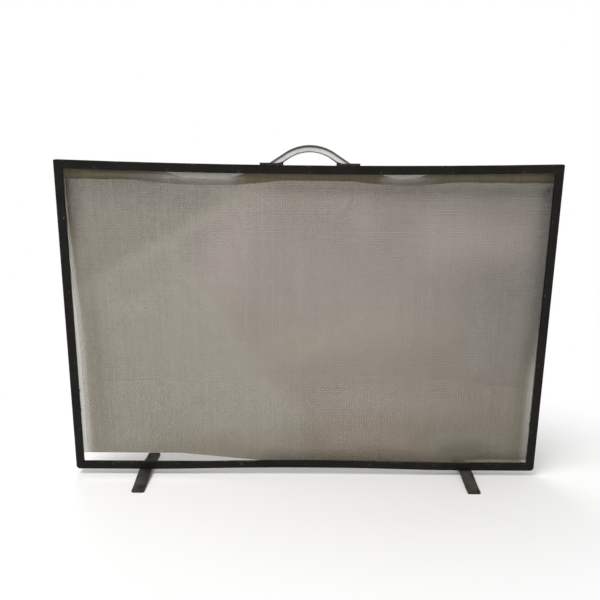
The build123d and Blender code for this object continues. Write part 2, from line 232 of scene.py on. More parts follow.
def new_group(name, kind, inputs, outputs):
    """An empty node group with named sockets: its wiring, its input sockets and its output node."""
    tree = bpy.data.node_groups.new(name, kind)
    for label, socket, default in inputs:
        made = tree.interface.new_socket(label, in_out="INPUT", socket_type="NodeSocket" + socket)
        if default is not None:
            made.default_value = default
    for label, socket in outputs:
        tree.interface.new_socket(label, in_out="OUTPUT", socket_type="NodeSocket" + socket)
    wiring = Wiring(tree)
    given = wiring.node("NodeGroupInput").outputs
    return wiring, given, wiring.node("NodeGroupOutput")


def crease_group(name, kind):
    """A soft bell along a straight line: its push on the sheet, or the painted shade or soot it lays."""
    w, given, out = new_group(
        name,
        kind,
        (
            ("Place", "Vector", None),
            ("From", "Vector", None),
            ("To", "Vector", None),
            ("Width", "Float", 0.02),
            ("Depth", "Float", 0.0),
        ),
        (("Push", "Float"),),
    )
    run = w.vector("SUBTRACT", given["To"], given["From"])
    off = w.vector("SUBTRACT", given["Place"], given["From"])
    share = w.math(
        "DIVIDE", w.vector("DOT_PRODUCT", off, run), w.vector("DOT_PRODUCT", run, run), clamp=True
    )
    foot = w.vector("MULTIPLY", run, w.place(share, share, share))
    away = w.math("DIVIDE", w.vector("LENGTH", w.vector("SUBTRACT", off, foot)), given["Width"])
    bell = w.math("EXPONENT", w.math("MULTIPLY", w.math("MULTIPLY", away, away), -1.0))
    w.tree.links.new(w.math("MULTIPLY", bell, given["Depth"]), out.inputs["Push"])
    return w.tree


# Creases as (from x, from z, to x, to z, width, depth); a negative depth comes towards the front.
CREASES = (
    (-0.292, 0.345, -0.143, 0.431, 0.016, -0.0026),
    (-0.300, 0.318, -0.120, 0.410, 0.030, 0.0018),
    (0.053, 0.456, 0.043, 0.426, 0.012, -0.0020),
    (0.150, 0.440, 0.300, 0.385, 0.050, -0.0022),
    (-0.060, 0.140, 0.090, 0.215, 0.055, 0.0025),
    (-0.135, 0.075, -0.120, 0.050, 0.016, -0.0022),
    (0.222, 0.048, 0.264, 0.044, 0.014, -0.0022),
    (-0.330, 0.120, -0.330, 0.300, 0.030, -0.0020),
)
POCKETS = (
    (-0.200, 0.4850, -0.110, 0.4840, 0.0070, -0.0050),
    (0.118, 0.4850, 0.168, 0.4855, 0.0065, -0.0042),
    (-0.330, 0.4885, -0.200, 0.4860, 0.0060, -0.0020),
)

# Painted shade and highlights along creases, in the same order, as a share of the wire's brightness.
PAINTED_CREASE_SHADING = (
    (0.064, 0.457, 0.053, 0.437, 0.0030, -0.26),
    (0.059, 0.458, 0.049, 0.440, 0.0032, 0.22),
    (-0.318, 0.330, -0.145, 0.427, 0.0110, 0.07),
    (-0.125, 0.078, -0.105, 0.060, 0.0040, -0.16),
    (0.085, 0.052, 0.145, 0.044, 0.0060, -0.14),
    (-0.016, 0.196, 0.020, 0.236, 0.0060, 0.06),
    (0.020, 0.236, 0.085, 0.275, 0.0080, 0.06),
    (-0.005, 0.178, 0.105, 0.212, 0.0130, -0.06),
    (-0.290, 0.305, -0.198, 0.355, 0.0130, -0.05),
    (-0.326, 0.050, -0.335, 0.340, 0.0080, -0.085),
    (-0.291, 0.060, -0.307, 0.340, 0.0060, 0.065),
    (-0.012, 0.060, -0.013, 0.450, 0.0028, 0.05),
    (-0.2075, 0.300, -0.2075, 0.460, 0.0028, 0.06),
)

# Lighter and darker patches of the cloth, in the same order, as a change of the soot and painted shade.
# The darker rows under the top strip and the patch below the middle crease are painted shade.
SOOT_AND_SHADE_PATCHES = (
    (0.200, 0.402, 0.300, 0.398, 0.047, -0.50),
    (0.110, 0.461, 0.290, 0.460, 0.012, 0.16),
    (-0.090, 0.452, 0.060, 0.449, 0.010, -0.14),
    (0.110, 0.440, 0.190, 0.436, 0.008, -0.08),
    (0.080, 0.430, 0.085, 0.415, 0.025, -0.26),
    (-0.105, 0.425, -0.135, 0.330, 0.042, -0.27),
    (-0.330, 0.463, -0.150, 0.456, 0.018, 0.17),
    (-0.340, 0.481, -0.220, 0.480, 0.005, 0.20),
    (-0.050, 0.480, 0.340, 0.481, 0.005, 0.20),
    (0.300, 0.300, 0.300, 0.210, 0.065, 0.20),
    (0.010, 0.150, 0.190, 0.190, 0.040, 0.27),
    (-0.160, 0.070, -0.075, 0.066, 0.035, -0.30),
    (-0.300, 0.060, -0.200, 0.055, 0.025, -0.13),
    (0.050, 0.066, 0.160, 0.062, 0.018, -0.28),
)


def creased(w, crease, spot, rows):
    """Sum of the pushes, painted crease shading or soot and shade patches of all rows of a list."""
    kind = "GeometryNodeGroup" if crease.bl_idname == "GeometryNodeTree" else "ShaderNodeGroup"
    push = 0.0
    for x1, z1, x2, z2, broad, depth in rows:
        made = w.node(kind, node_tree=crease)
        w.tree.links.new(spot, made.inputs["Place"])
        made.inputs["From"].default_value = (x1, 0, z1)
        made.inputs["To"].default_value = (x2, 0, z2)
        made.inputs["Width"].default_value = broad
        made.inputs["Depth"].default_value = depth
        push = w.math("ADD", push, made.outputs["Push"])
    return push


def thinned(w, distance, reach, width):
    """How far wires move to leave the cloth thinner beside an edge."""
    far = w.math("DIVIDE", w.math("MAXIMUM", distance, 0.0), reach)
    part = w.math("MULTIPLY", far, w.math("EXPONENT", w.math("SUBTRACT", 1.0, far)))
    return w.math("MULTIPLY", part, width)


def kept_on(w, wires, name, value):
    """Keeps a value with each point of the wires under a name."""
    return w.node(
        "GeometryNodeStoreNamedAttribute",
        {"Geometry": wires, "Name": name, "Value": value},
        data_type="FLOAT",
        domain="POINT",
    ).outputs[0]


def soot_and_shade_on(w, crease, x, z, side):
    """Soot and painted shade at a place on the sheet; side is the distance from the nearer side edge."""
    aside = w.math("MULTIPLY", w.math("SUBTRACT", x, SOOT_CENTRE[0]), SOOT_STRETCH[0])
    above = w.math("MAXIMUM", w.math("SUBTRACT", z, SOOT_CENTRE[1]), 0.0)
    above = w.math("MULTIPLY", above, SOOT_STRETCH[1])
    soot_and_shade = w.smooth(w.vector("LENGTH", w.place(aside, above, 0.0)), *SOOT_GROWTH)
    strip = w.math("MULTIPLY_ADD", w.smooth(z, *SOOT_STRIP_LEVELS), SOOT_STRIP_SHARE, 1.0)
    soot_and_shade = w.math("MULTIPLY", soot_and_shade, strip)
    soot_and_shade = w.math("MULTIPLY", soot_and_shade, w.spread(w.smooth(x, *SOOT_LEFT_SPAN), SOOT_LEFT_SHARE, 1.0))

    slope_x, slope_z, offset = CORNER_LINE
    corner = w.math("MULTIPLY_ADD", x, slope_x, w.math("MULTIPLY_ADD", z, slope_z, offset))
    soot_and_shade = w.math("MULTIPLY_ADD", w.smooth(corner, *CORNER_EDGE), CORNER_SHARE, soot_and_shade)

    # Painted shade under the top strip.
    under = w.both(z, UNDER_LEVELS, z, UNDER_END_LEVELS)
    left = w.smooth(x, *UNDER_LEFT_SPAN)
    beside = w.math("MULTIPLY_ADD", left, UNDER_LEFT_SHARE, w.smooth(x, *UNDER_RIGHT_SPAN))
    soot_and_shade = w.math("MULTIPLY_ADD", w.math("MULTIPLY", under, beside), UNDER_SHARE, soot_and_shade)

    hem = w.math("MULTIPLY", w.both(z, HEM_LEVELS, x, HEM_SPAN), HEM_SHARE)
    soot_and_shade = w.math("MAXIMUM", soot_and_shade, w.math("MAXIMUM", w.both(z, FOOT_LEVELS, x, FOOT_SPAN), hem))

    # Painted shade beside both stiles.
    right = w.both(x, RIM_RIGHT_SPAN, z, RIM_RIGHT_LEVELS)
    left = w.both(x, RIM_LEFT_SPAN, z, RIM_LEFT_LEVELS)
    beside = w.math("MULTIPLY", w.math("ADD", left, right), RIM_SHARE)
    soot_and_shade = w.math("MULTIPLY_ADD", w.smooth(side, *RIM_REACH), beside, soot_and_shade)
    return w.math("ADD", soot_and_shade, creased(w, crease, w.place(x, 0.0, z), SOOT_AND_SHADE_PATCHES))


def ash_on(w, x, z):
    """How thick ash lies at a place on the sheet."""
    near = w.smooth(w.math("ABSOLUTE", w.math("SUBTRACT", x, ASH_MIDDLE)), *ASH_REACH)
    return w.math("MULTIPLY", near, w.both(z, ASH_TOP_LEVELS, z, ASH_LOW_LEVELS))


def wire_tree(name, upright, crease):
    """One layer of wires side by side that follow the sheet's outline, slack and creases."""
    w, given, out = new_group(
        name,
        "GeometryNodeTree",
        (
            ("Half Width", "Float", 0.37),
            ("Bottom", "Float", 0.0),
            ("Top", "Float", 0.5),
            ("Sag", "Float", 0.0),
            ("Wire Count", "Int", 100),
            ("Point Count", "Int", 20),
            ("Wire Thickness", "Float", 0.0009),
            ("Layer Depth", "Float", 0.0),
            ("Loose Up", "Float", 0.0),
            ("Loose Level Run", "Float", 0.2),
            ("Loose Run", "Float", 0.4),
            ("Slack", "Float", 0.0),
            ("Wander", "Float", 0.0),
            ("Bunching", "Float", 0.0),
            ("Clogging", "Float", 0.0),
            ("Caking", "Float", 0.0),
            ("Seed", "Int", 1),
            ("Material", "Material", None),
        ),
        (("Geometry", "Geometry"),),
    )

    # Lines of a flat grid from -1 to 1 that run along the wires.
    across, along = ("Wire Count", "Point Count") if upright else ("Point Count", "Wire Count")
    grid = w.node(
        "GeometryNodeMeshGrid",
        {"Size X": 2.0, "Size Y": 2.0, "Vertices X": given[across], "Vertices Y": given[along]},
    )
    ends = w.node("GeometryNodeInputMeshEdgeVertices").outputs
    step = w.parts(w.vector("SUBTRACT", ends["Position 1"], ends["Position 2"]))
    on_wire = w.math("LESS_THAN", w.math("ABSOLUTE", step[0 if upright else 1]), IN_LINE)
    wires = w.node(
        "GeometryNodeMeshToCurve", {"Mesh": grid.outputs["Mesh"], "Selection": on_wire}
    ).outputs[0]

    # A shade and a small shift of its own for each wire.
    number = w.node("GeometryNodeCurveOfPoint").outputs["Curve Index"]
    least, most = SHADE_RANGE
    shade = w.node(
        "FunctionNodeRandomValue", {2: least, 3: most, "ID": number, "Seed": given["Seed"]}
    ).outputs[1]
    shift_seed = w.math("ADD", given["Seed"], SHIFT_SEED_STEP)
    shift = w.node(
        "FunctionNodeRandomValue", {2: least, 3: most, "ID": number, "Seed": shift_seed}
    ).outputs[1]
    wires = kept_on(w, wires, "wire_shade", shade)

    # Place on the flat sheet: u from left to right and t from bottom to top.
    flat = w.parts(w.node("GeometryNodeInputPosition").outputs[0])
    wide, high = flat[0], flat[1]
    order = w.math("MULTIPLY_ADD", wide if upright else high, 0.5, 0.5)
    order = w.math("MULTIPLY", order, w.math("SUBTRACT", given["Wire Count"], 1.0))
    order = w.math("MODULO", w.math("ROUND", order), BUNCH_SIZE)
    bunch = w.math("SUBTRACT", (BUNCH_SIZE - 1) / 2, order)
    drift = w.math("MULTIPLY", shift, given["Wander"])
    drift = w.math("MULTIPLY_ADD", bunch, given["Bunching"], drift)
    gap = w.math("DIVIDE", drift, given["Wire Count"])
    if upright:
        wide = w.math("ADD", wide, gap)
    else:
        high = w.math("ADD", high, gap)
    u = w.math("MINIMUM", w.math("MAXIMUM", wide, -1.0), 1.0)
    t = w.math("MULTIPLY_ADD", high, 0.5, 0.5, clamp=True)
    if upright:
        t = w.stepped(t, POINT_SPREAD)
    down = w.math("SUBTRACT", 1.0, t)

    # Outline: the top edge sags with the rail, and the left part of the lower edge has come up.
    x = w.math("MULTIPLY", u, given["Half Width"])
    from_left = w.math("ADD", x, given["Half Width"])
    hollow = w.math("SUBTRACT", 1.0, w.math("MULTIPLY", u, u))
    top = w.math("SUBTRACT", given["Top"], w.math("MULTIPLY", hollow, given["Sag"]))
    height = w.math("SUBTRACT", top, given["Bottom"])
    ramp = w.math("SUBTRACT", given["Loose Run"], given["Loose Level Run"])
    loose = w.math("DIVIDE", w.math("SUBTRACT", given["Loose Run"], from_left), ramp, clamp=True)
    lift = w.math("MULTIPLY", loose, given["Loose Up"])
    rise = w.math("MULTIPLY", lift, w.math("POWER", down, LOOSE_FADE))
    z = w.math("ADD", w.math("MULTIPLY_ADD", t, height, given["Bottom"]), rise)

    # Wires slide along the crossing wires: none low down beside the left stile and crowded further in,
    # and thinner beside the right stile and the lower rail.
    if upright:
        low_down = w.smooth(z, GAP_TOP, GAP_FULL)
        fold = thinned(w, from_left, FOLD_REACH, FOLD_WIDTH)
        fold = w.math("MULTIPLY", fold, w.math("SUBTRACT", 1.0, low_down))
        thin = w.math("EXPONENT", w.math("DIVIDE", from_left, -THIN_REACH))
        thin = w.math("MULTIPLY_ADD", thin, -THIN_WIDTH, GAP_WIDTH + THIN_WIDTH)
        crowd = w.math("EXPONENT", w.math("DIVIDE", from_left, -CROWD_REACH))
        slid = w.math("MULTIPLY_ADD", w.math("MULTIPLY", thin, crowd), low_down, fold)
        inward = thinned(w, w.math("SUBTRACT", SIDE_EDGE, x), SIDE_REACH, SIDE_WIDTH)
        inward = w.math("MULTIPLY", inward, w.smooth(z, *SIDE_LEVELS))
        x = w.math("ADD", x, w.math("SUBTRACT", slid, inward))
    else:
        upward = thinned(w, w.math("SUBTRACT", z, LOW_EDGE), LOW_REACH, LOW_WIDTH)
        z = w.math("MULTIPLY_ADD", upward, w.smooth(x, *LOW_SPAN), z)

    # Slack and creases, held flat where the sheet is clamped behind the flange.
    spot = w.place(x, 0.0, z)
    side = w.math("SUBTRACT", given["Half Width"], w.math("ABSOLUTE", x))
    border = w.math("MINIMUM", side, w.math("SUBTRACT", top, z))
    border = w.math("MINIMUM", border, w.math("SUBTRACT", z, given["Bottom"]))
    open_near = w.smooth(border, *POCKETS_FREE)
    open_far = w.smooth(border, *SLACK_FREE)
    cloud = w.math("MULTIPLY_ADD", w.noise(spot, SLACK_SCALE, 1.0), 2.0, -1.0)
    push = w.math("MULTIPLY", cloud, given["Slack"])
    push = w.math("MULTIPLY", w.math("ADD", push, creased(w, crease, spot, CREASES)), open_far)
    push = w.math("MULTIPLY_ADD", creased(w, crease, spot, POCKETS), open_near, push)
    y = w.math("ADD", push, given["Layer Depth"])

    # Soot with its painted shade, and ash, are kept with the wires before these move to their places.
    wires = kept_on(w, wires, "wire_soot_and_shade", soot_and_shade_on(w, crease, x, z, side))
    wires = kept_on(w, wires, "wire_ash", w.math("MULTIPLY", ash_on(w, x, z), open_near))
    wires = w.node(
        "GeometryNodeSetPosition", {"Geometry": wires, "Position": w.place(x, y, z)}
    ).outputs[0]

    # Round section, thicker where soot with its painted shade, and ash, lie.
    section = w.node(
        "GeometryNodeCurvePrimitiveCircle",
        {"Resolution": WIRE_SIDES, "Radius": w.math("MULTIPLY", given["Wire Thickness"], 0.5)},
    ).outputs[0]
    girth = 1.0
    for kept, share in (("wire_soot_and_shade", "Clogging"), ("wire_ash", "Caking")):
        layer = w.node("GeometryNodeInputNamedAttribute", {"Name": kept}, data_type="FLOAT")
        girth = w.math("MULTIPLY_ADD", layer.outputs[0], given[share], girth)
    drawn = w.node(
        "GeometryNodeCurveToMesh",
        {"Curve": wires, "Profile Curve": section, "Scale": girth, "Fill Caps": True},
    ).outputs[0]
    drawn = w.node(
        "GeometryNodeSetShadeSmooth", {"Geometry": drawn, "Shade Smooth": True}
    ).outputs[0]
    drawn = w.node("GeometryNodeRealizeInstances", {"Geometry": drawn}).outputs[0]
    drawn = w.node(
        "GeometryNodeSetMaterial", {"Geometry": drawn, "Material": given["Material"]}
    ).outputs[0]
    w.tree.links.new(drawn, out.inputs["Geometry"])
    return w.tree


def grow(name, tree, sizes):
    """A plain mesh piece from a geometry tree and its named sizes."""
    seedling = bpy.data.objects.new(name + "_seed", bpy.data.meshes.new(name + "_seed"))
    scene.collection.objects.link(seedling)
    modifier = seedling.modifiers.new("grow", "NODES")
    modifier.node_group = tree
    for item in tree.interface.items_tree:
        if item.item_type == "SOCKET" and item.in_out == "INPUT":
            modifier[item.identifier] = sizes[item.name]
    graph = bpy.context.evaluated_depsgraph_get()
    mesh = bpy.data.meshes.new_from_object(seedling.evaluated_get(graph))
    seedling.modifiers.clear()
    bpy.data.objects.remove(seedling)
    mesh.name = name
    piece = bpy.data.objects.new(name, mesh)
    scene.collection.objects.link(piece)
    return piece


# Worn paint: how fine its patterns are, how chips spread with their amount and along arrises, and where
# dust settles.
PAINT_COARSE = 55.0
PAINT_FINE = 420.0
PAINT_CLOUDS = 16.0
PAINT_SKIN = 700.0
CHIP_LEVEL = 0.72
CHIP_SPREAD = 0.16
CHIP_ARRIS = 0.17
CHIP_RIM = 0.035
DUST_CLOUDS = (0.38, 0.72)
DUST_SLOPE = (0.2, 0.9)
DUST_ON_SIDES = 0.2
PAINT_BROWNED = (0.018, 0.016, 0.013, 1)
PAINT_BROWNING = 0.6
PAINT_DULLNESS = 0.44
COARSE_DULLS = 0.16
DUST_DULLS = 0.35
CHIP_DULLS = 0.05
CHIP_FINE_SHARE = 0.6
CHIP_COARSE_SHARE = 0.4
SKIN_SHARE = 0.25
SKIN_FINE_SHARE = 0.35
CHIP_DEPTH = 0.6
ARRIS_REACH = (0.0005, 0.0024)

# Drawn steel: how fine its patterns are, and where patches turn dull and pits show.
STEEL_LINES = 900.0
STEEL_PATCHES = 60.0
STEEL_PITS = 650.0
DULL_RANGE = (0.42, 0.70)
PIT_RANGE = (0.66, 0.74)
LINES_DARKEN = 0.5
LINES_ROUGHEN = 0.12
DULL_ROUGHENS = 0.30
PIT_DEPTH = -0.5


def worn_paint_group():
    """Black paint with chips, dust on what faces up, and a fine uneven skin."""
    w, given, out = new_group(
        "worn_paint",
        "ShaderNodeTree",
        (
            ("Paint", "Color", (0.01, 0.01, 0.01, 1)),
            ("Bare", "Color", (0.12, 0.10, 0.08, 1)),
            ("Dust", "Color", (0.20, 0.18, 0.15, 1)),
            ("Chips", "Float", 0.2),
            ("Dust Amount", "Float", 0.2),
            ("Edge", "Float", 0.0),
        ),
        (("Color", "Color"), ("Roughness", "Float"), ("Height", "Float")),
    )
    place = w.node("ShaderNodeTexCoord").outputs["Object"]
    facing = w.parts(w.node("ShaderNodeNewGeometry").outputs["Normal"])[2]
    coarse = w.noise(place, PAINT_COARSE, detail=4.0, roughness=0.6)
    fine = w.noise(place, PAINT_FINE, detail=3.0, roughness=0.6)
    speck = w.math("MULTIPLY", coarse, CHIP_COARSE_SHARE)
    speck = w.math("MULTIPLY_ADD", fine, CHIP_FINE_SHARE, speck)
    level = w.math("SUBTRACT", CHIP_LEVEL, w.math("MULTIPLY", given["Chips"], CHIP_SPREAD))
    level = w.math("SUBTRACT", level, w.math("MULTIPLY", given["Edge"], CHIP_ARRIS))
    chip = w.smooth(speck, level, w.math("ADD", level, CHIP_RIM))
    cloud = w.smooth(w.noise(place, PAINT_CLOUDS, detail=5.0, roughness=0.62), *DUST_CLOUDS)
    upward = w.smooth(facing, *DUST_SLOPE)
    upward = w.math("MULTIPLY_ADD", upward, 1.0 - DUST_ON_SIDES, DUST_ON_SIDES)
    dust = w.math("MULTIPLY", w.math("MULTIPLY", cloud, upward), given["Dust Amount"], clamp=True)
    tint = w.mix(w.math("MULTIPLY", coarse, PAINT_BROWNING), given["Paint"], PAINT_BROWNED)
    tint = w.mix(dust, tint, given["Dust"])
    tint = w.mix(chip, tint, given["Bare"])
    dull = w.math("MULTIPLY_ADD", coarse, COARSE_DULLS, PAINT_DULLNESS)
    dull = w.math("MULTIPLY_ADD", dust, DUST_DULLS, dull)
    dull = w.math("MULTIPLY_ADD", chip, CHIP_DULLS, dull, clamp=True)
    skin = w.math("MULTIPLY", fine, SKIN_FINE_SHARE)
    skin = w.math("MULTIPLY_ADD", w.noise(place, PAINT_SKIN, detail=2.0), SKIN_SHARE, skin)
    skin = w.math("SUBTRACT", skin, w.math("MULTIPLY", chip, CHIP_DEPTH))
    w.tree.links.new(tint, out.inputs["Color"])
    w.tree.links.new(dull, out.inputs["Roughness"])
    w.tree.links.new(skin, out.inputs["Height"])
    return w.tree


def drawn_steel_group():
    """Bare steel with fine lines along its length, dull patches and darker pits."""
    w, given, out = new_group(
        "drawn_steel",
        "ShaderNodeTree",
        (
            ("Steel", "Color", (0.5, 0.5, 0.48, 1)),
            ("Tarnish", "Color", (0.16, 0.13, 0.10, 1)),
            ("Stretch", "Vector", (1.0, 1.0, 1.0)),
            ("Tarnish Amount", "Float", 0.3),
            ("Dullness", "Float", 0.25),
        ),
        (("Color", "Color"), ("Roughness", "Float"), ("Height", "Float")),
    )
    place = w.node("ShaderNodeTexCoord").outputs["Object"]
    stretched = w.vector("MULTIPLY", place, given["Stretch"])
    lines = w.noise(stretched, STEEL_LINES, detail=3.0, roughness=0.65)
    patch = w.noise(place, STEEL_PATCHES, detail=5.0, roughness=0.6)
    pits = w.smooth(w.noise(place, STEEL_PITS, detail=2.0), *PIT_RANGE)
    uneven = w.math("SUBTRACT", lines, 0.5)
    dull = w.math("MULTIPLY", w.smooth(patch, *DULL_RANGE), given["Tarnish Amount"])
    dull = w.math("MULTIPLY_ADD", uneven, LINES_DARKEN, dull, clamp=True)
    dull = w.math("MAXIMUM", dull, w.math("MULTIPLY", pits, given["Tarnish Amount"]))
    tint = w.mix(dull, given["Steel"], given["Tarnish"])
    rough = w.math("MULTIPLY_ADD", dull, DULL_ROUGHENS, given["Dullness"])
    rough = w.math("MULTIPLY_ADD", uneven, LINES_ROUGHEN, rough, clamp=True)
    w.tree.links.new(tint, out.inputs["Color"])
    w.tree.links.new(rough, out.inputs["Roughness"])
    w.tree.links.new(w.math("MULTIPLY_ADD", pits, PIT_DEPTH, lines), out.inputs["Height"])
    return w.tree


def frame_edge_group():
    """Nearness to the frame's long arrises, where the paint rubs through."""
    w, given, out = new_group(
        "frame_arris",
        "ShaderNodeTree",
        (
            ("Half Width", "Float", 0.38),
            ("Low", "Float", 0.0),
            ("Top", "Float", 0.5),
            ("Sag", "Float", 0.005),
            ("Rise", "Float", 0.004),
            ("Rise Reach", "Float", 0.25),
            ("Flange", "Float", 0.0127),
            ("Front", "Float", -0.006),
            ("Back", "Float", 0.006),
        ),
        (("Edge", "Float"),),
    )
    place = w.parts(w.node("ShaderNodeTexCoord").outputs["Object"])
    side = w.math("SUBTRACT", given["Half Width"], w.math("ABSOLUTE", place[0]))
    share = w.math("DIVIDE", place[0], given["Half Width"])
    hollow = w.math("SUBTRACT", 1.0, w.math("MULTIPLY", share, share))
    hollow = w.math("MULTIPLY", hollow, given["Sag"])
    over = w.math("SUBTRACT", w.math("SUBTRACT", given["Top"], hollow), place[2])
    bent = w.math("DIVIDE", place[0], given["Rise Reach"])
    bent = w.math("SUBTRACT", 1.0, w.math("MULTIPLY", bent, bent), clamp=True)
    bent = w.math("MULTIPLY", w.math("MULTIPLY", bent, bent), given["Rise"])
    under = w.math("SUBTRACT", w.math("SUBTRACT", place[2], given["Low"]), bent)
    rim = w.math("MINIMUM", side, w.math("MINIMUM", over, under))
    ahead = w.math("SUBTRACT", place[1], given["Front"])
    behind = w.math("SUBTRACT", given["Back"], place[1])
    inner = w.math("SUBTRACT", rim, given["Flange"])
    near = w.vector("LENGTH", w.place(rim, ahead, 0.0))
    near = w.math("MINIMUM", near, w.vector("LENGTH", w.place(rim, behind, 0.0)))
    near = w.math("MINIMUM", near, w.vector("LENGTH", w.place(inner, ahead, 0.0)))
    edge = w.math("SUBTRACT", 1.0, w.smooth(near, *ARRIS_REACH))
    w.tree.links.new(edge, out.inputs["Edge"])
    return w.tree


def new_material(name, specular=0.5, metallic=0.0):
    """A material with its wiring and its Principled shader."""
    made = bpy.data.materials.new(name)
    made.use_nodes = True
    shader = made.node_tree.nodes["Principled BSDF"]
    shader.inputs["Specular IOR Level"].default_value = specular
    shader.inputs["Metallic"].default_value = metallic
    return made, Wiring(made.node_tree), shader


def dress(w, shader, group, bump, distance):
    """Feeds a shader from a finish group, with its height as bump."""
    skin = w.node(
        "ShaderNodeBump", {"Height": group["Height"], "Strength": bump, "Distance": distance}
    )
    w.tree.links.new(group["Color"], shader.inputs["Base Color"])
    w.tree.links.new(group["Roughness"], shader.inputs["Roughness"])
    w.tree.links.new(skin.outputs[0], shader.inputs["Normal"])


def painted(name, paint, chips, dust, bare=(0.13, 0.115, 0.095, 1), edge=None, specular=0.3):
    """Worn black paint with its own colour, chips and dust; edge is a group of arrises."""
    made, w, shader = new_material(name, specular)
    coat = w.node("ShaderNodeGroup", node_tree=worn_paint)
    coat.inputs["Paint"].default_value = paint
    coat.inputs["Bare"].default_value = bare
    coat.inputs["Chips"].default_value = chips
    coat.inputs["Dust Amount"].default_value = dust
    if edge:
        arris = w.node("ShaderNodeGroup", node_tree=edge)
        for label, value in (
            ("Half Width", HALF_WIDTH),
            ("Low", FRAME_LOW),
            ("Top", FRAME_TOP),
            ("Sag", TOP_SAG),
            ("Rise", BOTTOM_RISE),
            ("Rise Reach", BOTTOM_RISE_REACH),
            ("Flange", FLANGE_WIDTH),
            ("Front", FRONT),
            ("Back", BACK),
        ):
            arris.inputs[label].default_value = value
        w.tree.links.new(arris.outputs["Edge"], coat.inputs["Edge"])
    dress(w, shader, coat.outputs, bump=0.35, distance=0.0004)
    return made


def bare_steel(name, steel, tarnish, stretch, amount, dullness):
    """Drawn steel with its own colour, direction of its lines and tarnish."""
    made, w, shader = new_material(name, metallic=1.0)
    grain = w.node("ShaderNodeGroup", node_tree=drawn_steel)
    grain.inputs["Steel"].default_value = steel
    grain.inputs["Tarnish"].default_value = tarnish
    grain.inputs["Stretch"].default_value = stretch
    grain.inputs["Tarnish Amount"].default_value = amount
    grain.inputs["Dullness"].default_value = dullness
    dress(w, shader, grain.outputs, bump=0.25, distance=0.0002)
    return made


# Painted light on the wires over the two openings of the top strip, where the cloth bulges forward out
# of the rail's shadow: where it starts, is full, fades and ends from left to right, the middle of the
# opening, level and bend of the strip's edge, level and bend of the opening's edge, and the amount.
# Above the opening's edge little of it is left.
PAINTED_BULGE_LIGHT = (
    (-0.300, -0.150, -0.125, -0.092, -0.155, 0.4748, 0.62, 0.4830, 2.88, 0.80),
    (0.096, 0.128, 0.150, 0.205, 0.141, 0.4773, 0.89, 0.4863, 5.80, 0.45),
)
BULGE_LIGHT_COLOUR = (0.50, 0.485, 0.45, 1)
BULGE_LIGHT_LOW_EDGE = (-0.0008, 0.0016)
BULGE_LIGHT_HIGH_EDGE = (-0.0012, 0.0016)
BULGE_LIGHT_LEFT_ABOVE = 0.10

# Warm tint in the middle of the cloth: its left edge as (level, distance from the middle), how soft
# that edge is, where it ends at the right, and how it goes in front of the top strip. It stays away from
# three cool patches at the right. SPAN and LEVELS are pairs as for the soot.
WARM_TINT_EDGE = (
    (0.0, -0.005),
    (0.11, -0.012),
    (0.17, -0.075),
    (0.36, -0.195),
    (0.40, -0.195),
    (0.48, -0.085),
)
WARM_TINT_SOFTNESS = (-0.014, 0.030)
WARM_TINT_END_SPAN = (0.37, 0.30)
WARM_TINT_STRIP_LEVELS = (0.470, 0.478)
WARM_TINT_STRIP_SHARE = -0.9
COOL_MIDDLE_SPAN = (0.235, 0.275)
COOL_MIDDLE_LEVELS = (0.17, 0.21)
COOL_MIDDLE_END_LEVELS = (0.345, 0.315)
COOL_LOW_SPAN = (0.16, 0.22)
COOL_LOW_LEVELS = (0.090, 0.055)
COOL_HIGH_SPAN = (0.15, 0.22)
COOL_HIGH_LEVELS = (0.435, 0.455)
COOL_HIGH_SHARE = 0.8
WARM_BROWN = (0.250, 0.180, 0.102, 1)
WARM_PALE = (0.250, 0.178, 0.130, 1)
PALE_LEVELS = (0.22, 0.34)
PALE_END_LEVELS = (0.445, 0.470)

# Wire: its colours, how fine the clouds and the mottle over the cloth are and how they change the
# brightness (factor, offset), and how much the shade of a wire, soot with its painted shade, and ash
# change it.
WIRE_STEEL = (0.282, 0.243, 0.160, 1)
WIRE_TARNISH = (0.105, 0.082, 0.060, 1)
WIRE_TARNISH_AMOUNT = 0.15
WIRE_DULLNESS = 0.48
CLOTH_CLOUDS = 5.0
CLOUDS_CHANGE = (0.24, 0.92)
CLOTH_MOTTLE = 200.0
MOTTLE_CHANGE = (0.3, -0.15)
SHADE_SHARE = 0.12
SOOT_AND_SHADE_DARKENING = -0.48
ASH_COLOUR = (0.275, 0.250, 0.205, 1)
ASH_COVER = 0.85


def warm_tint_on(w, x, z):
    """How strong the warm tint is at a place on the cloth."""
    warm_tint = w.smooth(w.math("SUBTRACT", x, w.stepped(z, WARM_TINT_EDGE)), *WARM_TINT_SOFTNESS)
    warm_tint = w.math("MULTIPLY", warm_tint, w.smooth(x, *WARM_TINT_END_SPAN))
    cool = w.both(z, COOL_MIDDLE_LEVELS, z, COOL_MIDDLE_END_LEVELS)
    cool = w.math("MULTIPLY", cool, w.smooth(x, *COOL_MIDDLE_SPAN))
    cool = w.math("MAXIMUM", cool, w.both(z, COOL_LOW_LEVELS, x, COOL_LOW_SPAN))
    high = w.both(z, COOL_HIGH_LEVELS, x, COOL_HIGH_SPAN)
    cool = w.math("MAXIMUM", cool, w.math("MULTIPLY", high, COOL_HIGH_SHARE))
    warm_tint = w.math("MULTIPLY", warm_tint, w.math("SUBTRACT", 1.0, cool))
    strip = w.math("MULTIPLY_ADD", w.smooth(z, *WARM_TINT_STRIP_LEVELS), WARM_TINT_STRIP_SHARE, 1.0)
    return w.math("MULTIPLY", warm_tint, strip)


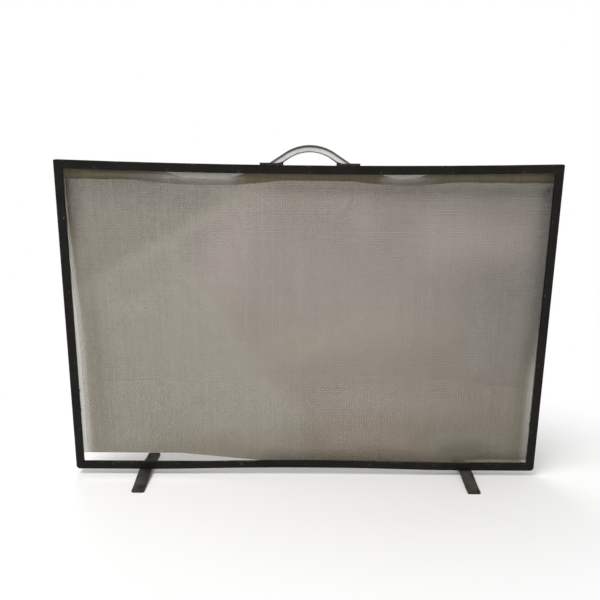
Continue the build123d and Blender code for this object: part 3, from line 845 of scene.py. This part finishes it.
def bulge_light_on(w, x, z, row):
    """How much painted light lies on the wires over one opening of the top strip."""
    start, full, fading, end, middle, low, droop, lip, bend, amount = row
    window = w.math("SUBTRACT", w.smooth(x, start, full), w.smooth(x, fading, end))
    off = w.math("SUBTRACT", x, middle)
    off = w.math("MULTIPLY", off, off)
    over = w.math("SUBTRACT", z, w.math("MULTIPLY_ADD", off, droop, low))
    above = w.math("SUBTRACT", z, w.math("MULTIPLY_ADD", off, bend, lip))
    bulge_light = w.math("MULTIPLY", window, w.smooth(over, *BULGE_LIGHT_LOW_EDGE))
    above = w.spread(w.smooth(above, *BULGE_LIGHT_HIGH_EDGE), amount, BULGE_LIGHT_LEFT_ABOVE)
    return w.math("MULTIPLY", bulge_light, above)


def wire_finish(name):
    """Dull steel wire, each with its own shade, under soot, ash, a warm tint and painted light and
    shade.
    """
    made, w, shader = new_material(name, specular=0.4, metallic=0.25)
    grain = w.node("ShaderNodeGroup", node_tree=drawn_steel)
    grain.inputs["Steel"].default_value = WIRE_STEEL
    grain.inputs["Tarnish"].default_value = WIRE_TARNISH
    grain.inputs["Stretch"].default_value = (1.0, 1.0, 1.0)
    grain.inputs["Tarnish Amount"].default_value = WIRE_TARNISH_AMOUNT
    grain.inputs["Dullness"].default_value = WIRE_DULLNESS
    shade = w.node("ShaderNodeAttribute", attribute_name="wire_shade").outputs["Fac"]
    soot_and_shade = w.node("ShaderNodeAttribute", attribute_name="wire_soot_and_shade").outputs["Fac"]
    ash = w.node("ShaderNodeAttribute", attribute_name="wire_ash").outputs["Fac"]
    place = w.node("ShaderNodeTexCoord").outputs["Object"]
    spot = w.parts(place)
    x, z = spot["X"], spot["Z"]

    # Brightness from clouds, mottle, soot with its painted shade, the wire's own shade, and painted
    # shade and highlights along creases.
    clouds = w.noise(place, CLOTH_CLOUDS, detail=3.0)
    clouds = w.math("MULTIPLY_ADD", clouds, *CLOUDS_CHANGE)
    mottle = w.noise(place, CLOTH_MOTTLE, detail=2.0, roughness=0.6)
    mottle = w.math("MULTIPLY_ADD", mottle, *MOTTLE_CHANGE)
    stain = w.math("MULTIPLY_ADD", soot_and_shade, SOOT_AND_SHADE_DARKENING, w.math("ADD", clouds, mottle))
    level = w.math("MULTIPLY", w.math("MULTIPLY_ADD", shade, SHADE_SHARE, 1.0), stain)
    crease_shade = creased(w, painted_crease_shade, w.vector("MULTIPLY", place, (1.0, 0.0, 1.0)), PAINTED_CREASE_SHADING)
    level = w.math("MULTIPLY", level, w.math("ADD", crease_shade, 1.0))

    pale = w.math("SUBTRACT", w.smooth(z, *PALE_LEVELS), w.smooth(z, *PALE_END_LEVELS))
    warm_colour = w.mix(pale, WARM_BROWN, WARM_PALE)
    warm = w.mix(warm_tint_on(w, x, z), grain.outputs["Color"], warm_colour)
    tint = w.mix(1.0, warm, w.place(level, level, level), "MULTIPLY")
    tint = w.mix(w.math("MULTIPLY", ash, ASH_COVER), tint, ASH_COLOUR)
    # Painted light where the cloth bulges forward over the openings of the top strip.
    for row in PAINTED_BULGE_LIGHT:
        tint = w.mix(bulge_light_on(w, x, z, row), tint, BULGE_LIGHT_COLOUR)
    w.tree.links.new(tint, shader.inputs["Base Color"])
    w.tree.links.new(grain.outputs["Roughness"], shader.inputs["Roughness"])
    return made


painted_crease_shade = crease_group("painted_crease_shade", "ShaderNodeTree")
worn_paint = worn_paint_group()
drawn_steel = drawn_steel_group()
frame_arris = frame_edge_group()

frame_black = painted(
    "frame_black",
    paint=(0.0040, 0.0039, 0.0033, 1),
    chips=0.15,
    dust=0.12,
    bare=(0.050, 0.046, 0.040, 1),
    edge=frame_arris,
    specular=0.12,
)
# The top strip reaches below the top rail's flange. Seen through the wires, its black there is a painted
# shadow of the rail on the cloth.
strip_black_and_shadow = painted(
    "strip_black_and_shadow", paint=(0.016, 0.015, 0.013, 1), chips=0.45, dust=0.30, bare=(0.11, 0.075, 0.05, 1)
)
pad_black = painted("pad_black", paint=(0.012, 0.012, 0.010, 1), chips=0.40, dust=0.22)
foot_black = painted("foot_black", paint=(0.022, 0.021, 0.019, 1), chips=0.55, dust=0.42)
rivet_black = painted("rivet_black", paint=(0.012, 0.012, 0.011, 1), chips=0.75, dust=0.15)
weld_black = painted(
    "weld_black", paint=(0.009, 0.009, 0.008, 1), chips=0.25, dust=0.10, bare=(0.08, 0.055, 0.04, 1)
)
handle_bright = bare_steel(
    "handle_bright",
    steel=(0.68, 0.67, 0.64, 1),
    tarnish=(0.36, 0.34, 0.31, 1),
    stretch=(0.05, 1.0, 1.0),
    amount=0.35,
    dullness=0.20,
)
screw_grey = bare_steel(
    "screw_grey",
    steel=(0.30, 0.29, 0.27, 1),
    tarnish=(0.09, 0.07, 0.05, 1),
    stretch=(1.0, 1.0, 1.0),
    amount=0.55,
    dullness=0.34,
)
wire_warm = wire_finish("wire_warm")

for node, finish in (
    ("top_rail", frame_black),
    ("bottom_rail", frame_black),
    ("left_stile", frame_black),
    ("right_stile", frame_black),
    # The top strip's black below the flange is a painted shadow of the top rail.
    ("top_strip", strip_black_and_shadow),
    ("bottom_strip", strip_black_and_shadow),
    ("left_strip", strip_black_and_shadow),
    ("right_strip", strip_black_and_shadow),
    ("strip_rivets", rivet_black),
    ("tack_welds", weld_black),
    ("handle_bow", handle_bright),
    ("handle_pad_left", pad_black),
    ("handle_pad_right", pad_black),
    ("handle_screws", screw_grey),
    ("handle_nuts", screw_grey),
    ("foot_left", foot_black),
    ("foot_right", foot_black),
    ("foot_screws", screw_grey),
    ("foot_nuts", screw_grey),
):
    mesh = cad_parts[node].data
    mesh.materials.clear()
    mesh.materials.append(finish)

# Wire cloth in two layers: upright wires in front, crossing wires behind.
sheet_crease = crease_group("sheet_crease", "GeometryNodeTree")
sheet_wide = sheet_high.x * 2
sheet_tall = sheet_high.z - sheet_low.z
front_layer = sheet_low.y + WIRE_THICK / 2
rear_layer = sheet_high.y - WIRE_THICK / 2
for name, upright, span, points, depth, seed in (
    ("upright_wires", True, sheet_wide, UPRIGHT_POINTS, front_layer, 11),
    ("cross_wires", False, sheet_tall, CROSS_POINTS, rear_layer, 29),
):
    layer = grow(
        name,
        wire_tree(name + "_tree", upright, sheet_crease),
        {
            "Half Width": sheet_high.x - WIRE_THICK / 2,
            "Bottom": sheet_low.z + WIRE_THICK / 2,
            "Top": sheet_high.z - WIRE_THICK / 2,
            "Sag": SHEET_SAG,
            "Wire Count": round(span / WIRE_PITCH) + 1,
            "Point Count": points,
            "Wire Thickness": WIRE_THICK,
            "Layer Depth": depth,
            "Loose Up": LOOSE_UP,
            "Loose Level Run": LOOSE_LEVEL_RUN,
            "Loose Run": LOOSE_RUN,
            "Slack": SLACK,
            "Wander": WANDER,
            "Bunching": BUNCHING,
            "Clogging": CLOGGING,
            "Caking": CAKING,
            "Seed": seed,
            "Material": wire_warm,
        },
    )
    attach(layer, "root")
    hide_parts("mesh_panel")

# Floor: pale, keeps the shadow near the screen and fades to plain white further out.
FLOOR_RADIUS = 6
FLOOR_CORNERS = 64
SHADOW_STRETCH = (0.55, 1.0, 0.0)
SHADOW_FADE = (0.12, 0.48)
floor_white, w, shader = new_material("floor_white", specular=0.0)
shader.inputs["Base Color"].default_value = (0.95, 0.95, 0.95, 1)
shader.inputs["Roughness"].default_value = 0.9
path = w.node("ShaderNodeLightPath").outputs
seen = w.math("MAXIMUM", path["Is Camera Ray"], path["Is Transmission Ray"])
seen = w.math("MAXIMUM", seen, path["Is Glossy Ray"])
spot = w.node("ShaderNodeTexCoord").outputs["Object"]
away = w.vector("LENGTH", w.vector("MULTIPLY", spot, SHADOW_STRETCH))
fade = w.math("MULTIPLY", w.smooth(away, *SHADOW_FADE), seen)
glow = w.node("ShaderNodeEmission", {"Color": (1, 1, 1, 1), "Strength": 1.0})
blend = w.node("ShaderNodeMixShader", {0: fade, 1: shader.outputs[0], 2: glow.outputs[0]})
w.tree.links.new(blend.outputs[0], w.tree.nodes["Material Output"].inputs["Surface"])
floor_mesh = bpy.data.meshes.new("floor")
turns = [math.tau * i / FLOOR_CORNERS for i in range(FLOOR_CORNERS)]
ring = [(FLOOR_RADIUS * math.cos(a), FLOOR_RADIUS * math.sin(a), 0.0) for a in turns]
floor_mesh.from_pydata(ring, [], [range(FLOOR_CORNERS)])
floor_mesh.materials.append(floor_white)
floor = bpy.data.objects.new("floor", floor_mesh)
scene.collection.objects.link(floor)

# World: dim even fill for the light, white for what is seen directly, and for metal to mirror a bright
# front and a dark ceiling and back.
FILL_STRENGTH = 0.45
DIM_CEILING = (0.25, 0.85)
DIM_BACK = (0.05, 0.45)
DIM_GREY = (0.12, 0.12, 0.12, 1)
world = bpy.data.worlds.new("studio")
scene.world = world
world.use_nodes = True
w = Wiring(world.node_tree)
fill = world.node_tree.nodes["Background"]
fill.inputs["Color"].default_value = (1.0, 0.99, 0.97, 1)
fill.inputs["Strength"].default_value = FILL_STRENGTH
path = w.node("ShaderNodeLightPath").outputs
direct = w.math("MAXIMUM", path["Is Camera Ray"], path["Is Transmission Ray"])
seen = w.math("MAXIMUM", direct, path["Is Glossy Ray"])
ray = w.parts(w.node("ShaderNodeTexCoord").outputs["Generated"])
dim = w.math("MAXIMUM", w.smooth(ray[2], *DIM_CEILING), w.smooth(ray[1], *DIM_BACK))
dim = w.math("MULTIPLY", dim, w.math("SUBTRACT", 1.0, direct))
sky = w.mix(dim, (1, 1, 1, 1), DIM_GREY)
white = w.node("ShaderNodeBackground", {"Color": sky, "Strength": 1.0})
blend = w.node("ShaderNodeMixShader", {0: seen, 1: fill.outputs[0], 2: white.outputs[0]})
w.tree.links.new(blend.outputs[0], world.node_tree.nodes["World Output"].inputs["Surface"])


def soft_lamp(name, place, aim, wide, high, power):
    """A rectangular soft lamp that points at a spot and isn't mirrored."""
    lamp = bpy.data.lights.new(name, "AREA")
    lamp.shape = "RECTANGLE"
    lamp.size = wide
    lamp.size_y = high
    lamp.energy = power
    made = bpy.data.objects.new(name, lamp)
    made.location = place
    made.rotation_euler = (Vector(aim) - Vector(place)).to_track_quat("-Z", "Y").to_euler()
    made.visible_glossy = False
    scene.collection.objects.link(made)


soft_lamp(
    "overhead_lamp", place=(-0.75, -0.80, 2.15), aim=(-0.05, 0.0, 0.25), wide=1.3, high=0.9, power=38.0
)
soft_lamp(
    "rear_lamp", place=(-0.45, 1.30, 1.90), aim=(-0.10, 0.25, 0.0), wide=1.2, high=0.9, power=12.0
)

# Camera at the photograph's viewing angle; turn, tilt and roll are in degrees.
CAMERA_PLACE = (-0.02368, -0.98003, 0.53376)
CAMERA_TURN = -0.638
CAMERA_TILT = 13.50
CAMERA_ROLL = 0.605
SENSOR_WIDTH = 36.0
FOCAL_LENGTH = 38.574
lens = bpy.data.cameras.new("camera")
lens.sensor_width = SENSOR_WIDTH
lens.lens = FOCAL_LENGTH
camera = bpy.data.objects.new("camera", lens)
camera.matrix_world = (
    Matrix.Translation(CAMERA_PLACE)
    @ Matrix.Rotation(math.radians(CAMERA_TURN), 4, "Z")
    @ Matrix.Rotation(math.radians(90 - CAMERA_TILT), 4, "X")
    @ Matrix.Rotation(math.radians(CAMERA_ROLL), 4, "Z")
)
scene.collection.objects.link(camera)
scene.camera = camera
